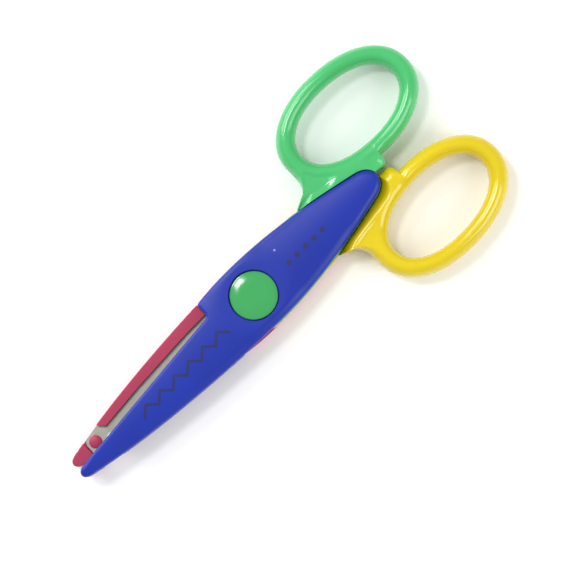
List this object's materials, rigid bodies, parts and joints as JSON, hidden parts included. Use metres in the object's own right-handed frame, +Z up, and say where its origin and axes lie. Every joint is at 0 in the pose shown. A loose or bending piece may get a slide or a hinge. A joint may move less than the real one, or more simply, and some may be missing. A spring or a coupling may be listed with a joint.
{
  "type": "decorative edge scissors",
  "caption": "Craft scissors with corrugated steel blades for a zigzag cut, moulded two-colour covers, oval finger loops and a capped central pivot.",
  "frame": {"origin": "on the pivot axis, on the plane that the closed scissors rest on, in the middle of the back cap's flat crown", "axes": "+X along the blades to the tip, +Y to the back half's finger loop, +Z up through the front half, along the pivot axis"},
  "size_m": [0.1349, 0.062, 0.0106],
  "materials": {
    "green_gloss": "glossy injection-moulded plastic",
    "yellow_gloss": "glossy injection-moulded plastic",
    "blue_satin": "satin injection-moulded plastic",
    "red_satin": "satin injection-moulded plastic",
    "blade_steel": "stamped stainless strip",
    "plated_steel": "bright zinc plate"
  },
  "bodies": {
    "back_half": {"yellow_handle": "yellow_gloss", "back_cover": "red_satin", "back_blade": "blade_steel", "back_pivot_cap": "yellow_gloss", "back_washer": "plated_steel", "pivot_sleeve": "plated_steel", "pivot_screw": "plated_steel", "spring_washer": "plated_steel", "front_washer": "plated_steel"},
    "front_half": {"green_handle": "green_gloss", "front_cover": "blue_satin", "front_blade": "blade_steel", "front_pivot_cap": "green_gloss"}
  },
  "joints": [
    {"name": "pivot", "type": "hinge", "parent": "back_half", "child": "front_half", "pos_m": [0, 0, 0], "axis": [0, 0, 1], "range_deg": [0, 50]}
  ]
}
